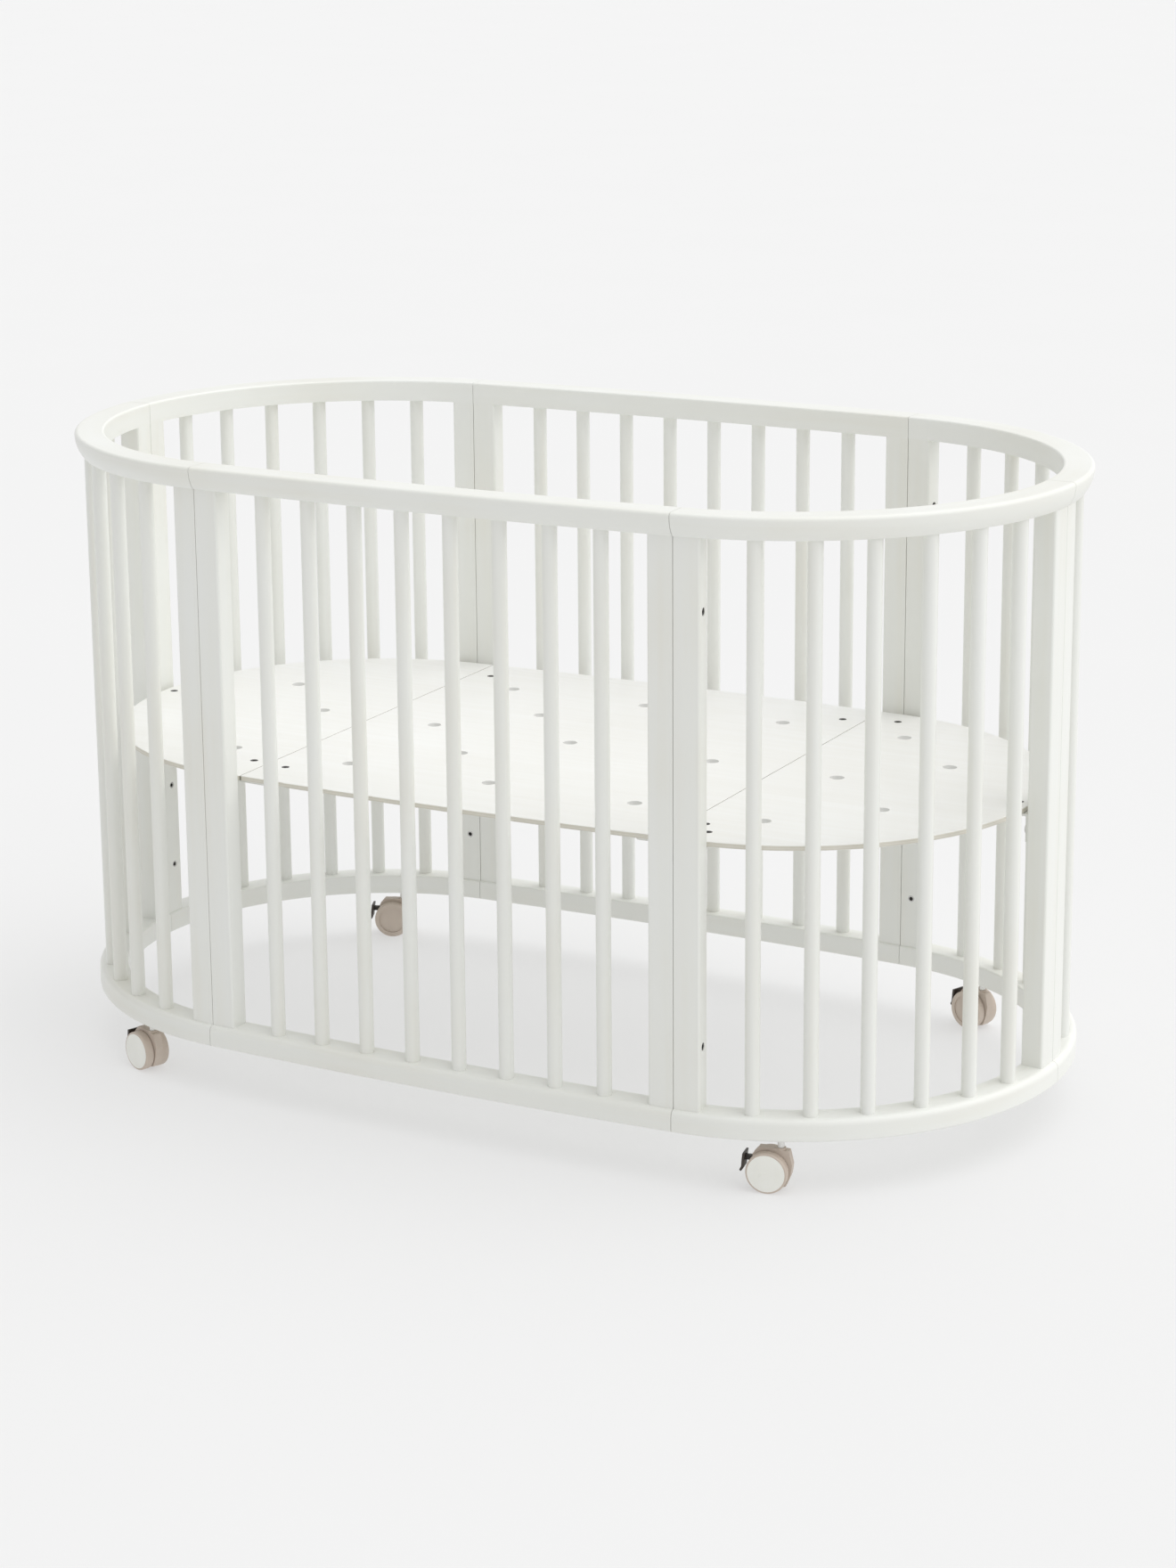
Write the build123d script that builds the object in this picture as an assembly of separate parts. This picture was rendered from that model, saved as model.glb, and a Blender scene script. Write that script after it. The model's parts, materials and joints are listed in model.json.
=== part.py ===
from build123d import *
import os
from math import cos, degrees, radians, sin

# Oval baby crib on four twin-wheel casters, in millimetres. +X is the long way of the oval,
# +Y the depth, +Z up, and the origin is on the floor under the middle of the oval.

# ---- the oval: the centre line of the slats, from four end arcs and two slightly bowed sides
HALF_DEPTH = 350.0  # middle of a side's slat line from the middle of the crib
SEAM_X = 321.5  # where a side panel meets a quarter panel
SIDE_BOW = 2.86  # degrees that a side turns between its middle and its seam
SIDE_RADIUS = SEAM_X / sin(radians(SIDE_BOW))
SIDE_CENTRE = SIDE_RADIUS - HALF_DEPTH
END_RADIUS = SIDE_RADIUS - SIDE_CENTRE / cos(radians(SIDE_BOW))
END_CENTRE = SEAM_X - END_RADIUS * sin(radians(SIDE_BOW))
PANEL_GAP = 0.6  # between two panels that are bolted together
CUT = 1.0  # how far a cutter reaches past the face that it opens

# ---- casters: x is along the wheel's rolling direction toward the lever, y along the axle
WHEEL_DIAMETER = 50.0
WHEEL_WIDTH = 11.6
WHEEL_EDGE = 2.2
WHEEL_HUB = 16.0
WHEEL_RIM = 4.5
WHEEL_HOLLOW = 6.0
WHEEL_BORE_DEPTH = 7.8
CASTER_TRAIL = 14.0  # axle behind the swivel axis
CASTER_NECK = 16.0  # from the top of the wheels to the rail above them
BODY_WIDTH = 11.0
BODY_ROUND = 1.5
SIDE_PLAY = 0.5  # between body and wheel
RUNNING_FIT = 0.06  # radial, between a turning bore and its pin
AXLE_DIAMETER = 5.0
AXLE_END_PLAY = 0.3
DISC_DIAMETER = 45.0
DISC_POCKET = 1.4
DISC_CROWN = 0.8
DISH_DIAMETER = 37.0  # shallow dish in the wheel that has no disc
STEM_DIAMETER = 8.0
STEM_JOURNAL = 6.8
STEM_IN_BODY = 23.0
STEM_IN_RAIL = 20.0
STEM_END_PLAY = 0.3
STEM_FLANGE = 15.0
STEM_FLANGE_HEIGHT = 2.0
COLLAR_DIAMETER = 12.0
COLLAR_HEIGHT = 3.7
COLLAR_SUNK = 1.0
SOCKET_DIAMETER = 12.0
SOCKET_LENGTH = 22.0
SOCKET_LIP = 17.0
SOCKET_LIP_HEIGHT = 1.5
LEVER_KNUCKLE = 4.2
LEVER_STUB = 3.0
LEVER_STUB_PLAY = 0.2
LEVER_ROOM = 1.2  # round the knuckle, inside the body
LEVER_ARM_WIDTH = 5.0
LEVER_ARM_HEIGHT = 6.0
LEVER_ARM_ROOM = 3.0  # under the arm, in the body's slot
LEVER_SLOT = 6.0
LEVER_WIDTH = 18.0
LEVER_ROUND = 0.8
# outlines round the axle, in wheel radii
BODY_OUTLINE = (
    (0.46, 1.12), (-0.44, 1.12), (-0.52, 1.06), (-0.98, 1.04), (-1.14, 0.36), (-1.08, -0.12),
    (-0.84, -0.72), (-0.56, -0.8), (-0.24, -0.56), (0.4, -0.52), (0.74, 0.04), (0.76, 0.76),
)
LEVER_BLADE = (
    (1.08, 0.8), (1.21, 0.78), (1.24, 0.52), (1.27, 0.12), (1.36, -0.06), (1.28, -0.13),
    (1.17, 0.02), (1.12, 0.52),
)
LEVER_PIVOT = (0.5, 0.5)
LEVER_ARM_REACH = 1.18
# side and end of the crib, heading of the lever, and which way along the axle the disc faces
CASTERS = {
    "front_left": (-1, -1, 159.0, 1),
    "front_right": (1, -1, 191.0, 1),
    "back_left": (-1, 1, 203.0, -1),
    "back_right": (1, 1, 159.0, -1),
}

# ---- rails, stiles and slats: inner and outer are measured outward from the slat line
BOTTOM_RAIL_HEIGHT = 27.0
BOTTOM_RAIL_INNER = -20.0
BOTTOM_RAIL_OUTER = 17.5
BOTTOM_RAIL_SHOULDER = 8.0
BOTTOM_RAIL_ROUND = 2.5
STILE_HEIGHT = 682.0
STILE_INNER = -17.5
STILE_OUTER = 10.5
STILE_WIDTH = 32.0
STILE_ROUND = 3.0
STILE_SEAM_ROUND = 0.8
TOP_RAIL_HEIGHT = 28.0
TOP_RAIL_INNER = -17.5
TOP_RAIL_OUTER = 20.0
TOP_RAIL_FOOT = 11.5  # outer edge of the top rail's underside
TOP_RAIL_CROWN = 5.0
TOP_RAIL_ROUND = 3.0
TOP_RAIL_BULGE = 2.2
SLAT_DIAMETER = 18.0
SLAT_TENON = 10.0
SIDE_SLATS = 8
SIDE_END_GAP = 52.4  # clear gap between a stile and the first slat
QUARTER_SLATS = 6
QUARTER_END_GAP = 50.4
DOWEL_DIAMETER = 8.0
DOWEL_IN_STILE = 22.0
DOWEL_IN_RAIL = 18.0
DOWEL_SPACING = 15.0
BOTTOM_RAIL_Z = WHEEL_DIAMETER + CASTER_NECK
STILE_Z = BOTTOM_RAIL_Z + BOTTOM_RAIL_HEIGHT
TOP_RAIL_Z = STILE_Z + STILE_HEIGHT
STILE_MIDDLE = (STILE_INNER + STILE_OUTER) / 2

# ---- bolts between panels
LOW_BOLT = 77.0  # above the foot of the stiles
HIGH_BOLT = 87.0  # below the head of the stiles
PANEL_BOLT_HEIGHTS = (STILE_Z + LOW_BOLT, TOP_RAIL_Z - HIGH_BOLT)
BOLT_SHANK = 6.0
BOLT_HOLE = 6.6
BOLT_HEAD = 9.6
BOLT_HEAD_HEIGHT = 4.5
BOLT_RECESS = 10.0
BOLT_RECESS_DEPTH = 6.0
PANEL_INSERT_DIAMETER = 8.0
PANEL_INSERT_LENGTH = 16.0
PANEL_INSERT_SUNK = 0.5  # below the joint face
BOLT_TIP_INSIDE = 1.0  # from the bolt's tip to the far end of its insert
HEX_SOCKET = 4.0
HEX_DEPTH = 2.6

# ---- mattress base
BASE_HEIGHT = 319.0  # top of the boards above the foot of the stiles
BASE_THICKNESS = 6.5
BASE_RIM_ROUND = 1.0
BASE_INSET = 24.5  # rim of the boards, inward from the slat line
BASE_JOINT_INSET = 30.5  # from the seam of the side panels
BASE_JOINT_GAP = 0.8
VENT_DIAMETER = 18.0
VENT_STEP_X = 100.0
VENT_STEP_Y = 105.0
VENT_FROM_JOINT = 79.0  # first row on an end board
BASE_TOP = STILE_Z + BASE_HEIGHT
BASE_UNDER = BASE_TOP - BASE_THICKNESS
BASE_JOINT_X = SEAM_X - BASE_JOINT_INSET
SCREW_DIAMETER = 5.0
SCREW_HEAD = 10.0
SCREW_BEYOND = 2.5  # below the bracket
CORNER_SCREWS = ((0.0, 44.0), (14.0, 74.0), (67.0, 70.0))  # toward the middle, inward
END_SCREWS = ((0.0, 22.0),)
SCREW_SLOT = (5.0, 0.9, 1.2)  # length, width and depth of each arm of the cross

# ---- brackets under the boards, and the threaded inserts that they bolt to
BRACKET_PLATE = 2.5
BRACKET_PLAY = 0.3  # between the flat plate and the curved face of the stile
BRACKET_DROP = 34.0
BRACKET_NECK = 6.0  # from the rim of the boards to the wide part of the shelf
CORNER_LEG = 13.0  # half the width of a corner bracket's leg
CORNER_SHELF = (-15.0, 80.0)  # toward the middle
CORNER_REACH = 86.0
END_LEG = 27.0
END_SHELF = (-40.0, 40.0)
END_REACH = 34.0
SHELF_CORNER = 8.0
INSERT_BELOW_BASE = 20.5  # from the underside of the boards to the bolt that holds the bracket
INSERT_STEP = 112.5  # between the three heights of the base
INSERT_LEVELS = 3
INSERT_DIAMETER = 9.0
INSERT_BORE = 5.4
INSERT_LENGTH = 14.0
BRACKET_BOLT = 5.2
BRACKET_BOLT_HOLE = 5.6
BRACKET_BOLT_LENGTH = 15.0
BRACKET_BOLT_HEAD = 11.0
BRACKET_BOLT_HEAD_HEIGHT = 3.2
BRACKET_BOLT_Z = BASE_UNDER - INSERT_BELOW_BASE
INSERT_HEIGHTS = [BRACKET_BOLT_Z - i * INSERT_STEP for i in range(INSERT_LEVELS)]


def save(name, shapes):
    """Write one node, from one solid or from a list of separate solids."""
    solids = [s for shape in shapes for s in shape.solids()]
    shape = solids[0] if len(solids) == 1 else Compound(children=solids)
    export_step(shape, f"parts/{name}.step")


class Arc:
    """One panel's stretch of the oval: an arc about its own centre, between two headings."""

    def __init__(self, name, centre, radius, start, end, slats, end_gap):
        self.name = name
        self.centre = centre
        self.radius = radius
        self.start = start
        self.end = end
        self.slats = slats
        self.end_gap = end_gap

    def turn(self, length):
        """Degrees of this arc that a length along the slat line covers."""
        return degrees(length / self.radius)

    def frame(self, heading, offset, z):
        """Frame on the arc: x outward, y along the oval (anticlockwise), z up."""
        outward = Vector(cos(radians(heading)), sin(radians(heading)))
        origin = Vector(*self.centre) + outward * (self.radius + offset)
        return Plane(origin=(origin.X, origin.Y, z), x_dir=(outward.X, outward.Y, 0), z_dir=(0, 0, 1))

    def sweep(self, section, start, end):
        """Turn a section, drawn outward against up from the slat line, between two headings."""
        face = Plane.XZ * Pos(self.radius, 0) * section
        solid = revolve(face, axis=Axis.Z, revolution_arc=end - start)
        return Pos(self.centre[0], self.centre[1]) * Rot(0, 0, start) * solid

    def slat_headings(self):
        """Slats at even steps, with the same clear gap at both stiles."""
        edge = self.turn(STILE_WIDTH + self.end_gap + SLAT_DIAMETER / 2)
        step = (self.end - self.start - 2 * edge) / (self.slats - 1)
        return [self.start + edge + i * step for i in range(self.slats)]

    def seams(self):
        """Heading at each end, with the sign that leads into the panel."""
        return ((self.start, 1), (self.end, -1))


def oval_arcs():
    sides = {"front": (1, 270.0), "back": (-1, 90.0)}
    arcs = []
    for name, (sign, heading) in sides.items():
        centre = (0.0, sign * SIDE_CENTRE)
        span = (heading - SIDE_BOW, heading + SIDE_BOW)
        arcs.append(Arc(name, centre, SIDE_RADIUS, *span, SIDE_SLATS, SIDE_END_GAP))
    quarters = {
        "front_right": (1, 270.0 + SIDE_BOW, 360.0),
        "back_right": (1, 0.0, 90.0 - SIDE_BOW),
        "back_left": (-1, 90.0 + SIDE_BOW, 180.0),
        "front_left": (-1, 180.0, 270.0 - SIDE_BOW),
    }
    for name, (sign, start, end) in quarters.items():
        centre = (sign * END_CENTRE, 0.0)
        arcs.append(Arc(name, centre, END_RADIUS, start, end, QUARTER_SLATS, QUARTER_END_GAP))
    return arcs


def along(frame, length, diameter, start=0.0):
    """Cylinder along a frame's y axis."""
    axis = Plane(origin=frame.from_local_coords((0, start, 0)), z_dir=frame.y_dir)
    return axis * Cylinder(diameter / 2, length, align=(Align.CENTER, Align.CENTER, Align.MIN))


def outward(frame, length, diameter, start=0.0):
    """Cylinder along a frame's x axis."""
    axis = Plane(origin=frame.from_local_coords((start, 0, 0)), z_dir=frame.x_dir)
    return axis * Cylinder(diameter / 2, length, align=(Align.CENTER, Align.CENTER, Align.MIN))


def upright(x, y, z, length, diameter):
    return Pos(x, y, z) * Cylinder(diameter / 2, length, align=(Align.CENTER, Align.CENTER, Align.MIN))


# ---- rails
def top_rail_section():
    """Flat top and inner face, and an outer face that leans in and bulges on its way down."""
    top = TOP_RAIL_Z + TOP_RAIL_HEIGHT
    inner = (TOP_RAIL_INNER, top - TOP_RAIL_ROUND)
    flat = ((TOP_RAIL_INNER + TOP_RAIL_ROUND, top), (TOP_RAIL_OUTER - TOP_RAIL_CROWN, top))
    shoulder = (TOP_RAIL_OUTER, top - TOP_RAIL_CROWN)
    foot = (TOP_RAIL_FOOT, TOP_RAIL_Z)
    bulge = ((shoulder[0] + foot[0]) / 2 + TOP_RAIL_BULGE, (shoulder[1] + foot[1]) / 2)
    outline = Polyline(foot, (TOP_RAIL_INNER, TOP_RAIL_Z), inner)
    outline += RadiusArc(inner, flat[0], TOP_RAIL_ROUND)
    outline += Line(*flat)
    outline += RadiusArc(flat[1], shoulder, TOP_RAIL_CROWN)
    outline += ThreePointArc(shoulder, bulge, foot)
    return make_face(outline)


def bottom_rail_section():
    """Rectangle with a large round on its upper outer edge."""
    width = BOTTOM_RAIL_OUTER - BOTTOM_RAIL_INNER
    middle = (BOTTOM_RAIL_OUTER + BOTTOM_RAIL_INNER) / 2
    face = Pos(middle, BOTTOM_RAIL_Z + BOTTOM_RAIL_HEIGHT / 2) * Rectangle(width, BOTTOM_RAIL_HEIGHT)
    inner = face.vertices().sort_by(Axis.X)[:2]
    outer = face.vertices().sort_by(Axis.X)[2:].sort_by(Axis.Y)
    face = fillet(inner + [outer[0]], BOTTOM_RAIL_ROUND)
    shoulder = face.vertices().group_by(Axis.X)[-1].sort_by(Axis.Y)[-1]
    return fillet(shoulder, BOTTOM_RAIL_SHOULDER)


def slats(arc):
    shapes = []
    for heading in arc.slat_headings():
        origin = arc.frame(heading, 0, STILE_Z - SLAT_TENON).origin
        length = STILE_HEIGHT + 2 * SLAT_TENON
        shapes.append(upright(origin.X, origin.Y, origin.Z, length, SLAT_DIAMETER))
    return shapes


def dowels(arc):
    """Four wooden dowels in each stile, two up into the top rail and two down into the bottom one."""
    shapes = []
    length = DOWEL_IN_STILE + DOWEL_IN_RAIL
    for seam, sign in arc.seams():
        for step in (-DOWEL_SPACING / 2, DOWEL_SPACING / 2):
            heading = seam + sign * arc.turn(STILE_WIDTH / 2 + step)
            for z in (STILE_Z - DOWEL_IN_RAIL, TOP_RAIL_Z - DOWEL_IN_STILE):
                origin = arc.frame(heading, STILE_MIDDLE, z).origin
                shapes.append(upright(origin.X, origin.Y, z, length, DOWEL_DIAMETER))
    return shapes


def caster_axis(name):
    """Plan place of a caster's swivel axis, midway between the two slats nearest the side."""
    right, back = CASTERS[name][:2]
    quarter = oval_arcs()[2]
    heading = radians(sum(quarter.slat_headings()[:2]) / 2)
    return (right * (END_CENTRE + END_RADIUS * cos(heading)), -back * END_RADIUS * sin(heading))


def rail(arc, section, cutters):
    clear = arc.turn(PANEL_GAP / 2)
    shape = arc.sweep(section, arc.start + clear, arc.end - clear)
    return shape - cutters


# ---- seams between panels
def seam_list():
    """Each seam once: the panel that holds the bolt heads, its heading, and the way into it."""
    arcs = {arc.name: arc for arc in oval_arcs()}
    seams = []
    for name in ("front_right", "back_right", "back_left", "front_left"):
        arc = arcs[name]
        for heading, sign in arc.seams():
            shared = heading % 180 == 0
            if not (shared and name.startswith("front")):
                seams.append((arc, heading, sign))
    return seams


def seam_frame(arc, heading, sign, z):
    """Frame at a seam, with y leading into the panel that holds the bolt's head."""
    frame = arc.frame(heading, STILE_MIDDLE, z)
    if sign > 0:
        return frame
    return Plane(origin=frame.origin, x_dir=-frame.x_dir, z_dir=(0, 0, 1))


def hex_key(frame, y, depth):
    face = Plane(origin=frame.from_local_coords((0, y, 0)), z_dir=frame.y_dir)
    return extrude(face * RegularPolygon(HEX_SOCKET / 2, 6, major_radius=False), -depth)


def panel_insert_end():
    """Far end of a threaded insert, from the seam."""
    return -(PANEL_GAP / 2 + PANEL_INSERT_SUNK + PANEL_INSERT_LENGTH)


def panel_bolt(frame):
    seat = STILE_WIDTH - BOLT_RECESS_DEPTH
    tip = panel_insert_end() + BOLT_TIP_INSIDE
    bolt = along(frame, seat - tip, BOLT_SHANK, tip)
    bolt += along(frame, BOLT_HEAD_HEIGHT, BOLT_HEAD, seat)
    return bolt - hex_key(frame, seat + BOLT_HEAD_HEIGHT, HEX_DEPTH)


def panel_insert(frame):
    """Threaded insert, pressed into the joint face of the stile without the bolt's head."""
    body = along(frame, PANEL_INSERT_LENGTH, PANEL_INSERT_DIAMETER, panel_insert_end())
    return body - along(frame, PANEL_INSERT_LENGTH, BOLT_SHANK, panel_insert_end())


def panel_bolt_hole(frame):
    """Everything that one panel bolt and its insert need cut from the two stiles."""
    seat = STILE_WIDTH - BOLT_RECESS_DEPTH
    hole = along(frame, seat + CUT, BOLT_HOLE)
    hole += along(frame, BOLT_RECESS_DEPTH + CUT, BOLT_RECESS, seat)
    return hole + along(frame, -panel_insert_end(), PANEL_INSERT_DIAMETER, panel_insert_end())


# ---- brackets and inserts
class Seat:
    """Place of one bracket: a frame on the stiles' inner face (x outward, z up) and its sizes."""

    def __init__(self, frame, toward, leg, shelf, reach, steps, screws):
        self.frame = frame
        self.toward = toward
        self.leg = leg
        self.shelf = shelf
        self.reach = reach
        self.steps = steps
        self.screws = screws
        self.standoff = leg * leg / (2 * (END_RADIUS + STILE_INNER)) + BRACKET_PLAY

    def at(self, outward_by, step, z):
        """Frame at a step along the oval, at a height."""
        origin = self.frame.from_local_coords((outward_by, step, z))
        return Plane(origin=origin, x_dir=self.frame.x_dir, z_dir=(0, 0, 1))

    def screw_places(self):
        for toward, inward in self.screws:
            yield self.frame.from_local_coords((-inward, self.toward * toward, 0))


def bracket_seats():
    """One seat on the quarter panel's stile at each side seam, and one across each end seam."""
    corner = (CORNER_LEG, CORNER_SHELF, CORNER_REACH, (0.0,), CORNER_SCREWS)
    end = (END_LEG, END_SHELF, END_REACH, (-STILE_WIDTH / 2, STILE_WIDTH / 2), END_SCREWS)
    seats = []
    for arc in oval_arcs()[2:]:
        for heading, sign in arc.seams():
            if heading % 180 != 0:
                middle = heading + sign * arc.turn(STILE_WIDTH / 2)
                seats.append(Seat(arc.frame(middle, STILE_INNER, 0), -sign, *corner))
            elif arc.name.startswith("front"):
                seats.append(Seat(arc.frame(heading, STILE_INNER, 0), 1, *end))
    return seats


def inserts():
    shapes = []
    for seat in bracket_seats():
        for step in seat.steps:
            for z in INSERT_HEIGHTS:
                frame = seat.at(0, step, z)
                body = outward(frame, INSERT_LENGTH, INSERT_DIAMETER)
                shapes.append(body - outward(frame, INSERT_LENGTH, INSERT_BORE))
    return shapes


def insert_holes():
    holes = []
    for seat in bracket_seats():
        for step in seat.steps:
            for z in INSERT_HEIGHTS:
                holes.append(outward(seat.at(0, step, z), INSERT_LENGTH + CUT, INSERT_DIAMETER, -CUT))
    return holes


def bracket_bolts():
    """Bolts from inside the crib, through the brackets and into the highest inserts."""
    shapes = []
    for seat in bracket_seats():
        for step in seat.steps:
            frame = seat.at(-seat.standoff - BRACKET_PLATE, step, BRACKET_BOLT_Z)
            bolt = outward(frame, BRACKET_BOLT_LENGTH, BRACKET_BOLT)
            bolt += outward(frame, BRACKET_BOLT_HEAD_HEIGHT, BRACKET_BOLT_HEAD, -BRACKET_BOLT_HEAD_HEIGHT)
            face = Plane(origin=frame.from_local_coords((-BRACKET_BOLT_HEAD_HEIGHT, 0, 0)), z_dir=frame.x_dir)
            key = RegularPolygon(HEX_SOCKET / 2, 6, major_radius=False)
            shapes.append(bolt - extrude(face * key, HEX_DEPTH))
    return shapes


def box_between(low, high):
    size = [b - a for a, b in zip(low, high)]
    middle = [(a + b) / 2 for a, b in zip(low, high)]
    return Pos(*middle) * Box(*size)


def brackets():
    """Angle plates: a leg that hangs along the stile, and a shelf under the boards."""
    shapes = []
    top = BASE_UNDER
    for seat in bracket_seats():
        face = -seat.standoff
        back = face - BRACKET_PLATE
        neck = -BASE_INSET - STILE_INNER - BRACKET_NECK
        shelf = sorted(seat.toward * edge for edge in seat.shelf)
        plate = box_between((back, -seat.leg, top - BRACKET_DROP), (face, seat.leg, top))
        plate += box_between((neck, -seat.leg, top - BRACKET_PLATE), (face, seat.leg, top))
        ledge = box_between((-seat.reach, shelf[0], top - BRACKET_PLATE), (neck, shelf[1], top))
        plate += fillet(ledge.edges().filter_by(Axis.Z), SHELF_CORNER)
        plate = seat.frame.location * plate
        for step in seat.steps:
            frame = seat.at(back, step, BRACKET_BOLT_Z)
            plate -= outward(frame, BRACKET_PLATE + 2 * CUT, BRACKET_BOLT_HOLE, -CUT)
        for place in seat.screw_places():
            hole = BRACKET_PLATE + 2 * CUT
            plate -= upright(place.X, place.Y, top - BRACKET_PLATE - CUT, hole, SCREW_DIAMETER)
        shapes.append(plate)
    return shapes


# ---- mattress base
def countersunk(place):
    """Screw body with its flat head flush with the boards."""
    cone = (SCREW_HEAD - SCREW_DIAMETER) / 2
    head = Pos(place.X, place.Y, BASE_TOP - cone / 2) * Cone(SCREW_DIAMETER / 2, SCREW_HEAD / 2, cone)
    length = BASE_THICKNESS + BRACKET_PLATE + SCREW_BEYOND
    return head + upright(place.X, place.Y, BASE_TOP - length, length - cone, SCREW_DIAMETER)


def screw_places():
    return [place for seat in bracket_seats() for place in seat.screw_places()]


def base_screws():
    shapes = []
    for place in screw_places():
        screw = countersunk(place)
        length, width, depth = SCREW_SLOT
        for size in ((length, width), (width, length)):
            screw -= Pos(place.X, place.Y, BASE_TOP) * Box(*size, 2 * depth)
        shapes.append(screw)
    return shapes


def base_blank():
    """The whole oval of the base, before it is cut into boards."""
    side = SIDE_RADIUS - BASE_INSET
    end = END_RADIUS - BASE_INSET
    corner = (END_CENTRE + end * sin(radians(SIDE_BOW)), end * cos(radians(SIDE_BOW)))
    middle = (0, side - SIDE_CENTRE)
    tip = (END_CENTRE + end, 0)
    outline = ThreePointArc((-corner[0], corner[1]), middle, corner)
    outline += ThreePointArc(corner, tip, (corner[0], -corner[1]))
    outline += ThreePointArc((corner[0], -corner[1]), (0, -middle[1]), (-corner[0], -corner[1]))
    outline += ThreePointArc((-corner[0], -corner[1]), (-tip[0], 0), (-corner[0], corner[1]))
    blank = Pos(0, 0, BASE_UNDER) * extrude(make_face(outline), BASE_THICKNESS)
    return fillet(blank.edges().filter_by(GeomType.CIRCLE), BASE_RIM_ROUND)


def vents():
    """Staggered rows of ventilation holes: odd and even steps from the middle of the base."""
    columns = {0.0: 0, VENT_STEP_X: 1, 2 * VENT_STEP_X: 0}
    first = BASE_JOINT_X + VENT_FROM_JOINT
    columns.update({first: 0, first + VENT_STEP_Y: 1})
    places = []
    for x, odd in columns.items():
        rows = (-1, 1) if odd else (-2, 0, 2)
        places += [(sign * x, row * VENT_STEP_Y) for row in rows for sign in ((1, -1) if x else (1,))]
    return places


def base_boards():
    blank = base_blank()
    for x, y in vents():
        blank -= upright(x, y, BASE_UNDER - CUT, BASE_THICKNESS + 2 * CUT, VENT_DIAMETER)
    for place in screw_places():
        blank -= countersunk(place)
    half = BASE_JOINT_X - BASE_JOINT_GAP / 2
    reach = 2 * END_CENTRE + 2 * END_RADIUS
    tall = 2 * (BASE_THICKNESS + CUT)
    middle = blank & Pos(0, 0, BASE_TOP) * Box(2 * half, reach, tall)
    boards = {"base_middle_board": middle}
    for name, sign in (("left", -1), ("right", 1)):
        x = sign * (BASE_JOINT_X + BASE_JOINT_GAP / 2 + reach / 2)
        boards[f"base_{name}_board"] = blank & Pos(x, 0, BASE_TOP) * Box(reach, reach, tall)
    return boards


# ---- casters, each in its own frame: x toward the lever, y along the axle, on the floor
WHEEL_RADIUS = WHEEL_DIAMETER / 2


def across(x, z, width, diameter):
    """Cylinder along y, centred on y."""
    return Pos(x, 0, z) * Rot(90, 0, 0) * Cylinder(diameter / 2, width)


def from_axle(point):
    """Place of a point that is given in wheel radii from the axle."""
    return (point[0] * WHEEL_RADIUS, (1 + point[1]) * WHEEL_RADIUS)


def slab(points, width, rounding):
    """Upright plate with an outline in wheel radii, centred on y."""
    face = make_face(Polyline(*[from_axle(point) for point in points], close=True))
    return extrude(Plane.XZ * fillet(face.vertices(), rounding), width / 2, both=True)


def body_top():
    """Height of the body over the swivel axis."""
    return from_axle(BODY_OUTLINE[3])[1]


def stem_bottom():
    return body_top() - STEM_IN_BODY


def caster_body():
    x, z = from_axle(LEVER_PIVOT)
    body = slab(BODY_OUTLINE, BODY_WIDTH, BODY_ROUND)
    body += upright(-CASTER_TRAIL, 0, body_top() - COLLAR_SUNK, COLLAR_HEIGHT, COLLAR_DIAMETER)
    bore = STEM_IN_BODY + COLLAR_HEIGHT + STEM_END_PLAY
    body -= upright(-CASTER_TRAIL, 0, stem_bottom() - STEM_END_PLAY, bore, STEM_JOURNAL + 2 * RUNNING_FIT)
    body -= across(0, WHEEL_RADIUS, BODY_WIDTH, AXLE_DIAMETER)
    room = LEVER_KNUCKLE + LEVER_ROOM
    body -= across(x, z, LEVER_SLOT, 2 * room)
    sweep = LEVER_ARM_HEIGHT / 2 + LEVER_ARM_ROOM
    body -= box_between((x, -LEVER_SLOT / 2, z - sweep), (WHEEL_DIAMETER, LEVER_SLOT / 2, WHEEL_DIAMETER * 2))
    return body - across(x, z, BODY_WIDTH, LEVER_STUB + 2 * RUNNING_FIT)


def caster_lever():
    """Foot blade on an arm, with stub pins that snap into the body."""
    x, z = from_axle(LEVER_PIVOT)
    half = LEVER_ARM_WIDTH / 2
    lever = slab(LEVER_BLADE, LEVER_WIDTH, LEVER_ROUND)
    lever += across(x, z, LEVER_ARM_WIDTH, 2 * LEVER_KNUCKLE)
    low = (x, -half, z - LEVER_ARM_HEIGHT / 2)
    lever += box_between(low, (LEVER_ARM_REACH * WHEEL_RADIUS, half, z + LEVER_ARM_HEIGHT / 2))
    return lever + across(x, z, BODY_WIDTH - 2 * LEVER_STUB_PLAY, LEVER_STUB)


def caster_wheel(pocket):
    """Wheel on the +y side, with its hollow toward the body and a round pocket in its outer face."""
    wheel = upright(0, 0, 0, WHEEL_WIDTH, WHEEL_DIAMETER)
    rims = wheel.edges().filter_by(GeomType.CIRCLE).sort_by(Axis.Z)
    wheel = fillet(rims[-1], WHEEL_EDGE)
    rims = wheel.edges().filter_by(GeomType.CIRCLE).sort_by(Axis.Z)
    wheel = fillet(rims[0], WHEEL_EDGE / 2)
    hollow = upright(0, 0, 0, WHEEL_HOLLOW, WHEEL_DIAMETER - 2 * WHEEL_RIM)
    wheel -= hollow - upright(0, 0, 0, WHEEL_HOLLOW, WHEEL_HUB)
    wheel -= upright(0, 0, 0, WHEEL_BORE_DEPTH, AXLE_DIAMETER + 2 * RUNNING_FIT)
    wheel -= upright(0, 0, WHEEL_WIDTH - DISC_POCKET, DISC_POCKET, pocket)
    return wheel_place() * wheel


def wheel_place():
    """Location that turns z along +y and moves to the wheel's inner face."""
    return Pos(0, BODY_WIDTH / 2 + SIDE_PLAY, WHEEL_RADIUS) * Rot(-90, 0, 0)


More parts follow.
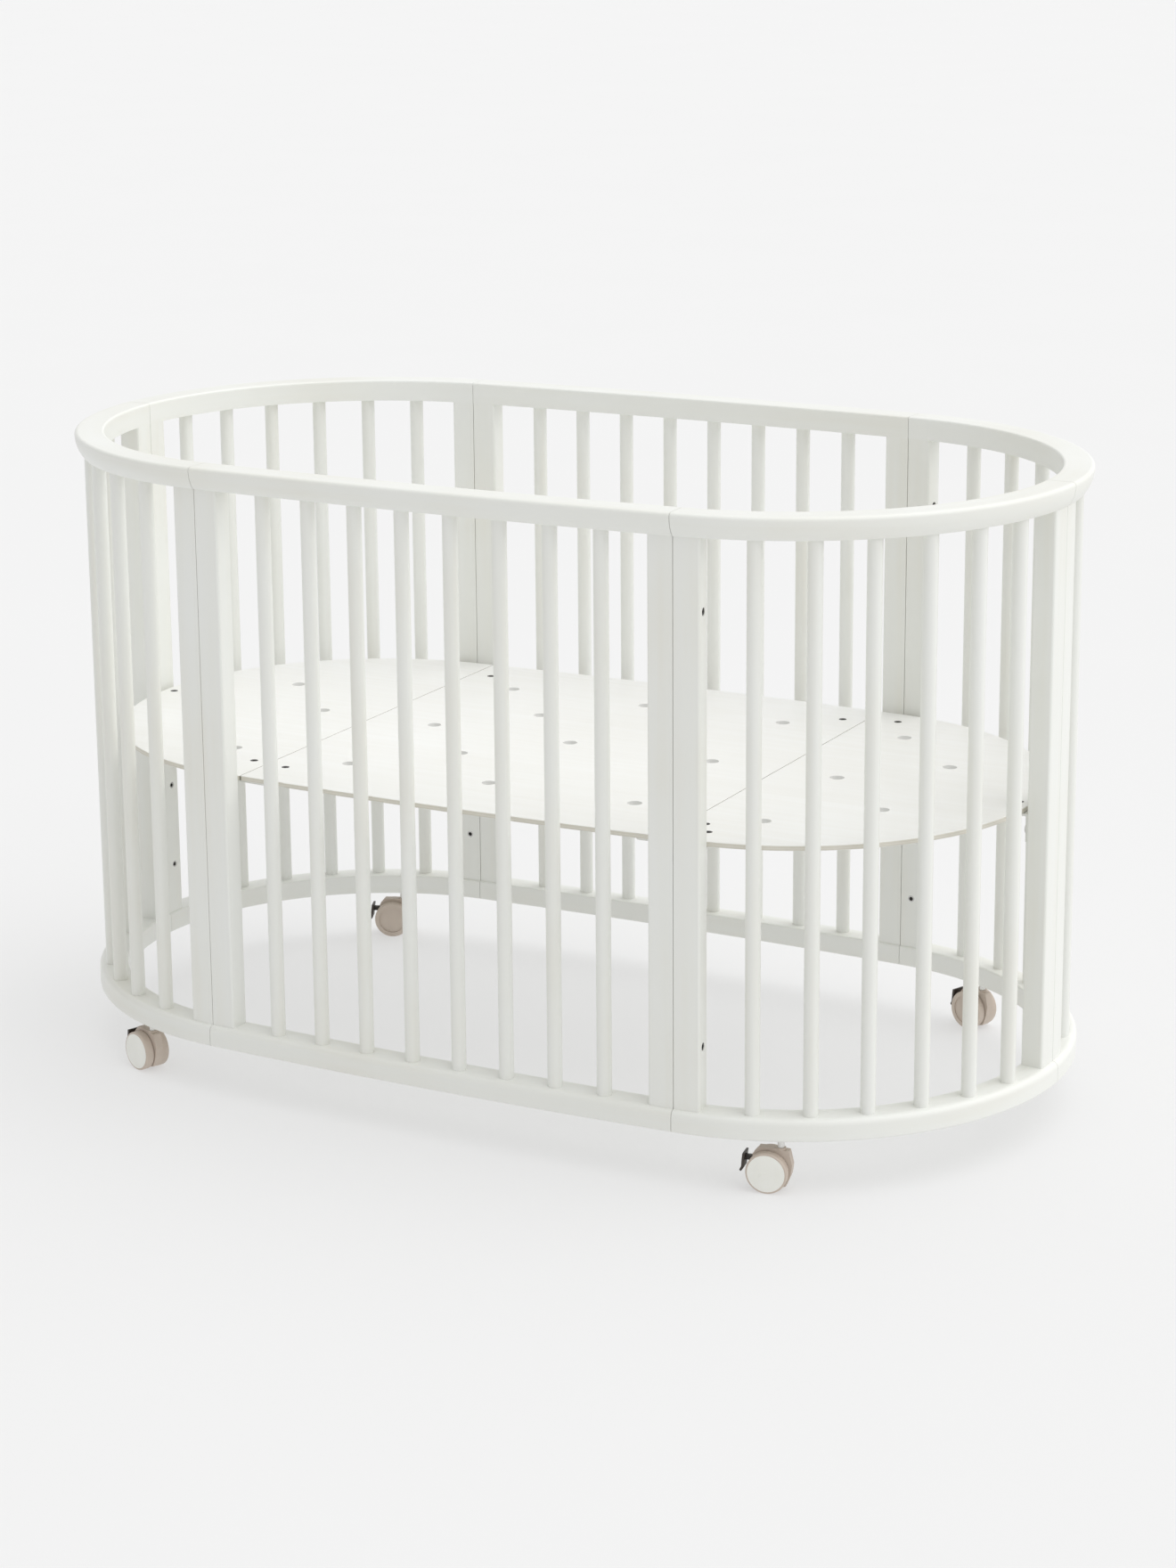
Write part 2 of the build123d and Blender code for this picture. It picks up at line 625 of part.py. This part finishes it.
def caster_disc():
    """Slightly domed disc, sunk in the wheel's outer face."""
    radius = DISC_DIAMETER / 2
    dome = (radius * radius + DISC_CROWN * DISC_CROWN) / (2 * DISC_CROWN)
    disc = upright(0, 0, WHEEL_WIDTH - DISC_POCKET, DISC_POCKET + DISC_CROWN, DISC_DIAMETER)
    disc &= Pos(0, 0, WHEEL_WIDTH + DISC_CROWN - dome) * Sphere(dome)
    return wheel_place() * disc


def caster_axle():
    reach = BODY_WIDTH / 2 + SIDE_PLAY + WHEEL_BORE_DEPTH - AXLE_END_PLAY
    return across(0, WHEEL_RADIUS, 2 * reach, AXLE_DIAMETER)


def caster_stem():
    """Steel pin: a journal in the body, and a shoulder and flange under the rail."""
    shoulder = body_top() - COLLAR_SUNK + COLLAR_HEIGHT + STEM_END_PLAY
    flange = BOTTOM_RAIL_Z - SOCKET_LIP_HEIGHT - STEM_FLANGE_HEIGHT
    stem = upright(-CASTER_TRAIL, 0, stem_bottom(), shoulder - stem_bottom(), STEM_JOURNAL)
    stem += upright(-CASTER_TRAIL, 0, shoulder, BOTTOM_RAIL_Z + STEM_IN_RAIL - shoulder, STEM_DIAMETER)
    return stem + upright(-CASTER_TRAIL, 0, flange, STEM_FLANGE_HEIGHT, STEM_FLANGE)


def caster_socket():
    lip = BOTTOM_RAIL_Z - SOCKET_LIP_HEIGHT
    socket = upright(-CASTER_TRAIL, 0, lip, SOCKET_LIP_HEIGHT, SOCKET_LIP)
    socket += upright(-CASTER_TRAIL, 0, lip, SOCKET_LIP_HEIGHT + SOCKET_LENGTH, SOCKET_DIAMETER)
    return socket - upright(-CASTER_TRAIL, 0, lip, SOCKET_LIP_HEIGHT + STEM_IN_RAIL, STEM_DIAMETER)


def socket_holes():
    hole = upright(-CASTER_TRAIL, 0, 0, BOTTOM_RAIL_Z + SOCKET_LENGTH, SOCKET_DIAMETER)
    return [caster_location(name) * hole for name in CASTERS]


def caster_location(name):
    """Where a caster's own frame stands under the crib."""
    x, y = caster_axis(name)
    return Pos(x, y, 0) * Rot(0, 0, CASTERS[name][2]) * Pos(CASTER_TRAIL, 0, 0)


def save_casters():
    pieces = {"body": caster_body(), "axle": caster_axle(), "brake_lever": caster_lever()}
    wheels = {
        "outer_wheel": (caster_wheel(DISC_DIAMETER), 1),
        "disc": (caster_disc(), 1),
        "inner_wheel": (caster_wheel(DISH_DIAMETER), -1),
    }
    for name, (_, _, _, disc_side) in CASTERS.items():
        place = caster_location(name)
        for piece, shape in pieces.items():
            save(f"{name}_caster_{piece}", [place * shape])
        for piece, (shape, side) in wheels.items():
            turned = shape if side * disc_side > 0 else shape.mirror(Plane.XZ)
            save(f"{name}_caster_{piece}", [place * turned])
    save("caster_stems", [caster_location(name) * caster_stem() for name in CASTERS])
    save("caster_sockets", [caster_location(name) * caster_socket() for name in CASTERS])


# ---- the panels
def stiles(arc, cutters):
    """The two upright boards of a panel, with rounded edges."""
    middle = (STILE_Z + TOP_RAIL_Z) / 2
    section = Pos(STILE_MIDDLE, middle) * Rectangle(STILE_OUTER - STILE_INNER, STILE_HEIGHT)
    shapes = []
    for seam, sign in arc.seams():
        ends = sorted((seam + sign * arc.turn(PANEL_GAP / 2), seam + sign * arc.turn(STILE_WIDTH)))
        stile = arc.sweep(section, *ends)
        uprights = stile.edges().filter_by(Axis.Z)
        near = arc.frame(seam, STILE_MIDDLE, middle).origin
        by_seam = uprights.sort_by_distance(near)
        stile = fillet(by_seam[2:], STILE_ROUND)
        by_seam = stile.edges().filter_by(Axis.Z).sort_by_distance(near)
        stile = fillet(by_seam[:2], STILE_SEAM_ROUND)
        shapes.append(stile - cutters)
    return shapes


def save_panels():
    bolt_holes = []
    for seam in seam_list():
        bolt_holes += [panel_bolt_hole(seam_frame(*seam, z)) for z in PANEL_BOLT_HEIGHTS]
    holes = insert_holes()
    sockets = socket_holes()
    for arc in oval_arcs():
        panel = f"{arc.name}_side" if arc.slats == SIDE_SLATS else f"{arc.name}_quarter"
        rods = slats(arc)
        pins = dowels(arc)
        quarter = arc.slats == QUARTER_SLATS
        cups = sockets if quarter else []
        save(f"{panel}_top_rail", [rail(arc, top_rail_section(), rods + pins)])
        save(f"{panel}_bottom_rail", [rail(arc, bottom_rail_section(), rods + pins + cups)])
        save(f"{panel}_slats", rods)
        save(f"{panel}_stiles", stiles(arc, pins + bolt_holes + (holes if quarter else [])))
    save("stile_dowels", [pin for arc in oval_arcs() for pin in dowels(arc)])


def save_fasteners():
    frames = [seam_frame(*seam, z) for seam in seam_list() for z in PANEL_BOLT_HEIGHTS]
    save("panel_bolts", [panel_bolt(frame) for frame in frames])
    save("panel_inserts", [panel_insert(frame) for frame in frames])
    save("height_inserts", inserts())
    save("bracket_bolts", bracket_bolts())
    save("base_brackets", brackets())
    save("base_screws", base_screws())


def main():
    os.makedirs("parts", exist_ok=True)
    save_panels()
    save_fasteners()
    for name, board in base_boards().items():
        save(name, [board])
    save_casters()


main()
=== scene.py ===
import json
import math

import bpy
from mathutils import Matrix, Vector

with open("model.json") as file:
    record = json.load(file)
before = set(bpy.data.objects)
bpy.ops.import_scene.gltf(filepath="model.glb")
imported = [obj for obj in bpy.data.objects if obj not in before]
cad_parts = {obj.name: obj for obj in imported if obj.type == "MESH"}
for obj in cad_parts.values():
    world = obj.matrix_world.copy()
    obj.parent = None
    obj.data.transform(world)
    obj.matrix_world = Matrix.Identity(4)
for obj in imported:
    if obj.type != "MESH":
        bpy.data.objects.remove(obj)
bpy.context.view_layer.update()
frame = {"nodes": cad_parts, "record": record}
nodes = frame["nodes"]


# ---- plan of the oval, in metres: the panels' seams and the two arcs that carry the rails
HALF_DEPTH = 0.350
SEAM_X = 0.3215
BOW = math.radians(2.86)
SIDE_RADIUS = SEAM_X / math.sin(BOW)
SIDE_CENTRE = SIDE_RADIUS - HALF_DEPTH
END_RADIUS = SIDE_RADIUS - SIDE_CENTRE / math.cos(BOW)
END_CENTRE = SEAM_X - END_RADIUS * math.sin(BOW)


# ---- material tools
class Shader:
    """One node material. Each texture is placed in the piece's own coordinates, in metres."""

    def __init__(self, name, roughness, metallic=0.0, coat=0.0, specular=0.5):
        self.material = bpy.data.materials.new(name)
        self.material.use_nodes = True
        self.tree = self.material.node_tree
        self.tree.nodes.clear()
        self.output = self.add("ShaderNodeOutputMaterial")
        self.surface = self.add("ShaderNodeBsdfPrincipled")
        self.surface.inputs["Metallic"].default_value = metallic
        self.surface.inputs["Roughness"].default_value = roughness
        self.surface.inputs["Coat Weight"].default_value = coat
        self.surface.inputs["Coat Roughness"].default_value = 0.18
        self.surface.inputs["Specular IOR Level"].default_value = specular
        self.link(self.surface.outputs["BSDF"], self.output.inputs["Surface"])
        self.place = self.add("ShaderNodeTexCoord").outputs["Object"]

    def add(self, kind, **settings):
        node = self.tree.nodes.new(kind)
        for key, value in settings.items():
            setattr(node, key, value)
        return node

    def link(self, a, b):
        self.tree.links.new(a, b)

    def math(self, operation, a, b=None, c=None):
        node = self.add("ShaderNodeMath", operation=operation)
        for socket, value in zip(node.inputs, (a, b, c)):
            if value is None:
                continue
            if isinstance(value, (int, float)):
                socket.default_value = value
            else:
                self.link(value, socket)
        return node.outputs[0]

    def length(self, a, b):
        """Length of the hypotenuse over two values."""
        squares = self.math("ADD", self.math("MULTIPLY", a, a), self.math("MULTIPLY", b, b))
        return self.math("SQRT", squares)

    def split(self, vector):
        node = self.add("ShaderNodeSeparateXYZ")
        self.link(vector, node.inputs[0])
        return node.outputs

    def join(self, x, y, z):
        node = self.add("ShaderNodeCombineXYZ")
        for socket, value in zip(node.inputs, (x, y, z)):
            if isinstance(value, (int, float)):
                socket.default_value = value
            else:
                self.link(value, socket)
        return node.outputs[0]

    def stretched(self, vector, scale):
        node = self.add("ShaderNodeVectorMath", operation="MULTIPLY")
        self.link(vector, node.inputs[0])
        node.inputs[1].default_value = scale
        return node.outputs[0]

    def noise(self, vector, scale, detail=3.0, rough=0.5):
        node = self.add("ShaderNodeTexNoise")
        self.link(vector, node.inputs["Vector"])
        node.inputs["Scale"].default_value = scale
        node.inputs["Detail"].default_value = detail
        node.inputs["Roughness"].default_value = rough
        return node.outputs["Fac"]

    def spread(self, value, low, high, to_low, to_high):
        node = self.add("ShaderNodeMapRange", clamp=True)
        self.link(value, node.inputs["Value"])
        node.inputs["From Min"].default_value = low
        node.inputs["From Max"].default_value = high
        node.inputs["To Min"].default_value = to_low
        node.inputs["To Max"].default_value = to_high
        return node.outputs["Result"]

    def tint(self, value, *stops):
        """Colour ramp through (position, colour) stops."""
        node = self.add("ShaderNodeValToRGB")
        ramp = node.color_ramp
        for i, (at, colour) in enumerate(stops):
            stop = ramp.elements[i] if i < 2 else ramp.elements.new(at)
            stop.position = at
            stop.color = (*colour, 1.0)
        self.link(value, node.inputs["Fac"])
        return node.outputs["Color"]

    def mix(self, factor, a, b):
        node = self.add("ShaderNodeMix", data_type="RGBA")
        self.link(factor, node.inputs["Factor"])
        for socket, value in ((node.inputs[6], a), (node.inputs[7], b)):
            if isinstance(value, tuple):
                socket.default_value = (*value, 1.0)
            else:
                self.link(value, socket)
        return node.outputs[2]

    def colour(self, value):
        self.link(value, self.surface.inputs["Base Color"])

    def roughness(self, value):
        self.link(value, self.surface.inputs["Roughness"])

    def bump(self, *layers):
        """Height layers of (value, metres), one on the other."""
        before = None
        for value, height in layers:
            node = self.add("ShaderNodeBump")
            node.inputs["Strength"].default_value = 1.0
            node.inputs["Distance"].default_value = height
            self.link(value, node.inputs["Height"])
            if before is not None:
                self.link(before, node.inputs["Normal"])
            before = node.outputs["Normal"]
        self.link(before, self.surface.inputs["Normal"])


def along_arc(shader, centre_x, centre_y, radius):
    """Coordinates that follow a rail: outward, along its arc, and up."""
    x, y, z = shader.split(shader.place)
    dx = shader.math("SUBTRACT", x, centre_x)
    dy = shader.math("SUBTRACT", y, centre_y)
    turn = shader.math("MULTIPLY", shader.math("ARCTAN2", dy, dx), radius)
    return shader.join(shader.length(dx, dy), turn, z)


# ---- lacquered beech: white, with the wood's fine pores and the roller's texture under the gloss
LACQUER = (0.835, 0.842, 0.800)
LACQUER_WARM = (0.815, 0.812, 0.752)
LACQUER_COOL = (0.848, 0.858, 0.828)


def lacquered_wood(name, grain):
    """grain gives coordinates whose second axis runs along the fibres."""
    shader = Shader(name, 0.38, coat=0.12)
    fibres = grain(shader)
    pores = shader.noise(shader.stretched(fibres, (900.0, 14.0, 900.0)), 1.0, 4.0, 0.6)
    figure = shader.noise(shader.stretched(fibres, (60.0, 2.2, 60.0)), 1.0, 3.0)
    cloud = shader.noise(shader.place, 5.5, 2.0)
    roller = shader.noise(shader.place, 420.0, 2.0)
    tone = shader.math("ADD", shader.math("MULTIPLY", figure, 0.45), shader.math("MULTIPLY", cloud, 0.55))
    shader.colour(shader.tint(tone, (0.32, LACQUER_WARM), (0.5, LACQUER), (0.7, LACQUER_COOL)))
    shader.roughness(shader.spread(cloud, 0.3, 0.7, 0.33, 0.44))
    shader.bump((pores, 0.00006), (roller, 0.00005))
    return shader.material


def upright_grain(shader):
    x, y, z = shader.split(shader.place)
    return shader.join(x, z, y)


def rail_lacquer(name, *arc):
    """Lacquer whose grain follows an arc, given by its centre's x and y and its radius."""
    return lacquered_wood(name, lambda shader: along_arc(shader, *arc))


side_front = rail_lacquer("lacquer_front_side_rail", 0.0, SIDE_CENTRE, SIDE_RADIUS)
side_back = rail_lacquer("lacquer_back_side_rail", 0.0, -SIDE_CENTRE, SIDE_RADIUS)
end_right = rail_lacquer("lacquer_right_end_rail", END_CENTRE, 0.0, END_RADIUS)
end_left = rail_lacquer("lacquer_left_end_rail", -END_CENTRE, 0.0, END_RADIUS)
upright = lacquered_wood("lacquer_uprights", upright_grain)


# ---- base boards: white faces and a bare edge that shows the plies
BASE_JOINT_X = 0.291
JOINT_REACH = 0.0015  # each side of the joint
HOLES_END = 0.29  # the vent holes are nearer to the oval's middle line than this
RIM_START = 0.30  # and the rim is farther
PLY = 0.0027
RIM_DARK = (0.66, 0.63, 0.55)
RIM_LIGHT = (0.76, 0.735, 0.66)
HOLE_WALL = (0.80, 0.80, 0.78)
JOINT_FACE = (0.34, 0.32, 0.27)


def board():
    shader = Shader("white_board", 0.42, coat=0.08)
    x, y, z = shader.split(shader.place)
    cloud = shader.noise(shader.place, 4.0, 3.0)
    fleck = shader.noise(shader.place, 260.0, 2.0)
    streak = shader.noise(shader.stretched(shader.place, (3.0, 120.0, 120.0)), 1.0, 3.0)
    tone = shader.math("ADD", shader.math("MULTIPLY", cloud, 0.6), shader.math("MULTIPLY", streak, 0.4))
    face = shader.tint(tone, (0.35, (0.845, 0.84, 0.805)), (0.65, (0.885, 0.888, 0.868)))
    plies = shader.math("SINE", shader.math("MULTIPLY", z, 2 * math.pi / PLY))
    wobble = shader.math("ADD", plies, shader.math("MULTIPLY", fleck, 0.8))
    rim = shader.tint(shader.spread(wobble, -1.0, 1.8, 0.0, 1.0), (0.0, RIM_DARK), (1.0, RIM_LIGHT))
    from_middle = shader.math("ABSOLUTE", x)
    past_middle = shader.math("MAXIMUM", shader.math("SUBTRACT", from_middle, END_CENTRE), 0.0)
    reach = shader.length(past_middle, y)
    edge = shader.mix(shader.spread(reach, HOLES_END, RIM_START, 0.0, 1.0), HOLE_WALL, rim)
    joint = shader.math("COMPARE", from_middle, BASE_JOINT_X, JOINT_REACH)
    edge = shader.mix(joint, edge, JOINT_FACE)
    normal = shader.add("ShaderNodeTexCoord").outputs["Normal"]
    upward = shader.math("ABSOLUTE", shader.split(normal)[2])
    shader.colour(shader.mix(shader.spread(upward, 0.35, 0.6, 0.0, 1.0), edge, face))
    shader.bump((fleck, 0.00004), (streak, 0.00003))
    return shader.material


# ---- metals
def steel(name, dark, light, roughness, metallic):
    shader = Shader(name, roughness, metallic=metallic)
    cloud = shader.noise(shader.place, 90.0, 3.0)
    scratch = shader.noise(shader.stretched(shader.place, (300.0, 2600.0, 300.0)), 1.0, 2.0)
    shader.colour(shader.tint(cloud, (0.3, dark), (0.7, light)))
    shader.roughness(shader.spread(scratch, 0.3, 0.7, roughness - 0.08, roughness + 0.12))
    shader.bump((scratch, 0.00002))
    return shader.material


# ---- moulded plastics
def plastic(name, dark, light, roughness, grain=0.00005, coat=0.0):
    shader = Shader(name, roughness, coat=coat)
    cloud = shader.noise(shader.place, 34.0, 2.0)
    spark = shader.noise(shader.place, 1900.0, 2.0)
    flow = shader.noise(shader.stretched(shader.place, (60.0, 60.0, 18.0)), 1.0, 3.0)
    tone = shader.math("ADD", shader.math("MULTIPLY", cloud, 0.5), shader.math("MULTIPLY", flow, 0.5))
    shader.colour(shader.tint(tone, (0.35, dark), (0.65, light)))
    shader.roughness(shader.spread(cloud, 0.3, 0.7, roughness - 0.06, roughness + 0.06))
    shader.bump((spark, grain))
    return shader.material


def bare_beech():
    shader = Shader("bare_beech", 0.6)
    fibres = shader.stretched(shader.place, (700.0, 700.0, 20.0))
    streak = shader.noise(fibres, 1.0, 3.0)
    shader.colour(shader.tint(streak, (0.3, (0.52, 0.36, 0.22)), (0.7, (0.70, 0.54, 0.37))))
    shader.bump((streak, 0.00008))
    return shader.material


FINISHES = {
    "white_board": board(),
    "bare_beech": bare_beech(),
    "black_steel": steel("black_steel", (0.035, 0.032, 0.030), (0.075, 0.070, 0.066), 0.42, 0.85),
    "zinc_steel": steel("zinc_steel", (0.52, 0.52, 0.51), (0.68, 0.68, 0.66), 0.36, 0.95),
    "white_metal": plastic("white_metal", (0.76, 0.76, 0.72), (0.82, 0.82, 0.79), 0.40, 0.00008),
    "socket_plastic": plastic("socket_plastic", (0.62, 0.62, 0.59), (0.70, 0.70, 0.67), 0.50),
    "taupe_plastic": plastic("taupe_plastic", (0.54, 0.46, 0.39), (0.60, 0.515, 0.44), 0.46),
    "ivory_plastic": plastic(
        "ivory_plastic", (0.86, 0.86, 0.80), (0.90, 0.90, 0.85), 0.32, 0.00003, coat=0.2
    ),
    "dark_brown_plastic": plastic("dark_brown_plastic", (0.030, 0.022, 0.017), (0.055, 0.042, 0.034), 0.40),
}


def wood_for(name):
    """The lacquer whose grain runs the right way for a panel piece."""
    if name.endswith(("_slats", "_stiles")):
        return upright
    if name.startswith("front_side"):
        return side_front
    if name.startswith("back_side"):
        return side_back
    return end_right if "_right_" in name else end_left


bright_zinc = steel("bright_zinc", (0.80, 0.80, 0.78), (0.88, 0.88, 0.86), 0.40, 0.35)


def finish_for(name, slot):
    if slot == "white_lacquered_wood":
        return wood_for(name)
    return bright_zinc if name == "caster_stems" else FINISHES[slot]


for part in frame["record"]["subparts"]:
    material = finish_for(part["node"], part["material_slot"])
    node = nodes[part["node"]]
    node.data.materials.clear()
    node.data.materials.append(material)


# ---- floor: a plain pale sweep that is lit a little from below, so the shadows on it stay light
FLOOR_SIZE = 160.0
FLOOR_DARK = (0.350, 0.350, 0.350)
FLOOR_LIGHT = (0.354, 0.354, 0.354)
FLOOR_GLOW = 0.49


def floor():
    bpy.ops.mesh.primitive_plane_add(size=FLOOR_SIZE, location=(0.0, 0.0, 0.0))
    ground = bpy.context.object
    ground.name = "floor"
    shader = Shader("pale_floor", 0.9, specular=0.1)
    cloud = shader.noise(shader.place, 2.0, 2.0)
    shader.colour(shader.tint(cloud, (0.3, FLOOR_DARK), (0.7, FLOOR_LIGHT)))
    shader.surface.inputs["Emission Color"].default_value = (1.0, 1.0, 1.0, 1.0)
    shader.surface.inputs["Emission Strength"].default_value = FLOOR_GLOW
    ground.data.materials.append(shader.material)


floor()


# ---- light: a surround that is brightest overhead and toward the back right, with a pale band at the
# horizon behind the floor, and one soft light from above the right
BRIGHT_SIDE = (0.33, 0.33, 0.88)
SURROUND_LOW = 0.34
SURROUND_HIGH = 1.37
HORIZON_GLOW = 0.91
HORIZON_FADE = (0.10, 0.28)  # height on the unit sphere where the band starts and ends its fade
KEY_STRENGTH = 0.75
KEY_ANGLE = math.radians(70.0)
KEY_TURN = (math.radians(-8.0), math.radians(34.0), 0.0)


def surround():
    world = bpy.data.worlds.new("surround")
    bpy.context.scene.world = world
    world.use_nodes = True
    tree = world.node_tree
    background = tree.nodes["Background"]
    background.inputs["Color"].default_value = (1.0, 1.0, 1.0, 1.0)
    direction = tree.nodes.new("ShaderNodeTexCoord").outputs["Generated"]
    toward = tree.nodes.new("ShaderNodeVectorMath")
    toward.operation = "DOT_PRODUCT"
    toward.inputs[1].default_value = BRIGHT_SIDE
    tree.links.new(direction, toward.inputs[0])
    overhead = tree.nodes.new("ShaderNodeMapRange")
    overhead.inputs["To Min"].default_value = SURROUND_LOW
    overhead.inputs["To Max"].default_value = SURROUND_HIGH
    tree.links.new(toward.outputs["Value"], overhead.inputs["Value"])
    height = tree.nodes.new("ShaderNodeSeparateXYZ")
    tree.links.new(direction, height.inputs[0])
    band = tree.nodes.new("ShaderNodeMapRange")
    band.inputs["From Min"].default_value = HORIZON_FADE[0]
    band.inputs["From Max"].default_value = HORIZON_FADE[1]
    band.inputs["To Min"].default_value = HORIZON_GLOW
    band.inputs["To Max"].default_value = 0.0
    tree.links.new(height.outputs["Z"], band.inputs["Value"])
    brighter = tree.nodes.new("ShaderNodeMath")
    brighter.operation = "MAXIMUM"
    tree.links.new(overhead.outputs["Result"], brighter.inputs[0])
    tree.links.new(band.outputs["Result"], brighter.inputs[1])
    tree.links.new(brighter.outputs[0], background.inputs["Strength"])


def key_light():
    sun = bpy.data.lights.new("overhead", "SUN")
    sun.energy = KEY_STRENGTH
    sun.angle = KEY_ANGLE
    lamp = bpy.data.objects.new("overhead", sun)
    lamp.rotation_euler = KEY_TURN
    bpy.context.scene.collection.objects.link(lamp)


surround()
key_light()


# ---- camera
EYE = (2.0507, -3.8063, 1.5781)
YAW = math.radians(29.0657)
PITCH = math.radians(-14.7389)
ROLL = math.radians(-0.7111)
LENS = 80.85
SENSOR = 36.0
SHIFT = (0.04, -0.04)
FAR = 300.0


def camera():
    data = bpy.data.cameras.new("camera")
    data.sensor_width = SENSOR
    data.lens = LENS
    data.shift_x, data.shift_y = SHIFT
    data.clip_end = FAR
    ahead = Vector((-math.sin(YAW) * math.cos(PITCH), math.cos(YAW) * math.cos(PITCH), math.sin(PITCH)))
    level = Vector((math.cos(YAW), math.sin(YAW), 0.0))
    over = level.cross(ahead)
    right = math.cos(ROLL) * level + math.sin(ROLL) * over
    up = math.cos(ROLL) * over - math.sin(ROLL) * level
    turn = Matrix((right, up, -ahead)).transposed().to_4x4()
    eye = bpy.data.objects.new("camera", data)
    eye.matrix_world = Matrix.Translation(EYE) @ turn
    bpy.context.scene.collection.objects.link(eye)
    bpy.context.scene.camera = eye


camera()
bpy.context.scene.view_settings.view_transform = "Standard"
